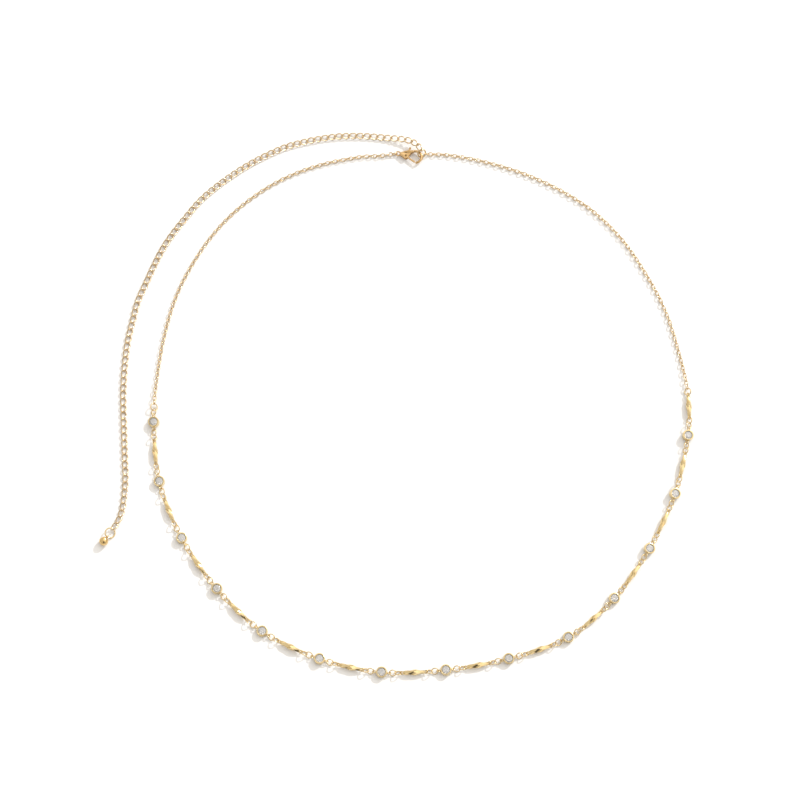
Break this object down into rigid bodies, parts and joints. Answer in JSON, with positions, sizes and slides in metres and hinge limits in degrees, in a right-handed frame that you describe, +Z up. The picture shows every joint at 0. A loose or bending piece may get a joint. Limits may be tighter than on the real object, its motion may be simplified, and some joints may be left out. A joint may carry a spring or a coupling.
{
  "type": "waist chain",
  "caption": "Gold waist chain: clear round stones in rims alternate with twisted bars along the front, fine chain runs round the back to a lobster clasp, and an extender ends in a bead.",
  "frame": {"origin": "middle of the bounding box of the chain as it lies, on the surface", "axes": "+X runs to the right along the back of the loop, +Y away from the front strand towards the clasp, +Z up from the surface"},
  "size_m": [0.2649, 0.255, 0.0042],
  "materials": {
    "gold_setting": "polished gold plate",
    "stone": "clear faceted",
    "gold_bar": "polished gold plate",
    "gold_rings": "polished gold plate",
    "gold_chain": "polished gold plate",
    "gold_clasp": "polished gold plate",
    "gold_bead": "polished gold plate"
  },
  "bodies": {
    "chain": {"setting_01": "gold_setting", "setting_02": "gold_setting", "setting_03": "gold_setting", "setting_04": "gold_setting", "setting_05": "gold_setting", "setting_06": "gold_setting", "setting_07": "gold_setting", "setting_08": "gold_setting", "setting_09": "gold_setting", "setting_10": "gold_setting", "setting_11": "gold_setting", "setting_12": "gold_setting", "setting_13": "gold_setting", "setting_14": "gold_setting", "stone_01": "stone", "stone_02": "stone", "stone_03": "stone", "stone_04": "stone", "stone_05": "stone", "stone_06": "stone", "stone_07": "stone", "stone_08": "stone", "stone_09": "stone", "stone_10": "stone", "stone_11": "stone", "stone_12": "stone", "stone_13": "stone", "stone_14": "stone", "bar_01": "gold_bar", "bar_02": "gold_bar", "bar_03": "gold_bar", "bar_04": "gold_bar", "bar_05": "gold_bar", "bar_06": "gold_bar", "bar_07": "gold_bar", "bar_08": "gold_bar", "bar_09": "gold_bar", "bar_10": "gold_bar", "bar_11": "gold_bar", "bar_12": "gold_bar", "bar_13": "gold_bar", "bar_14": "gold_bar", "connecting_rings_left": "gold_rings", "connecting_rings_right": "gold_rings", "left_end_ring": "gold_rings", "right_end_ring": "gold_rings", "left_chain": "gold_chain", "right_chain": "gold_chain", "jump_ring": "gold_rings", "clasp_body": "gold_clasp", "clasp_rivet": "gold_clasp", "extender_chain": "gold_chain", "end_ring": "gold_rings", "end_bead": "gold_bead"},
    "clasp_lever": {"clasp_lever": "gold_clasp"}
  },
  "joints": [
    {"name": "lever_hinge", "type": "hinge", "parent": "chain", "child": "clasp_lever", "pos_m": [0.00419, 0.11646, 0.00119], "axis": [-0.0651, 0.0144, 0.9978], "range_deg": [0, 20], "stiffness_Nm_per_rad": 0.003, "springref_deg": -14.32}
  ]
}
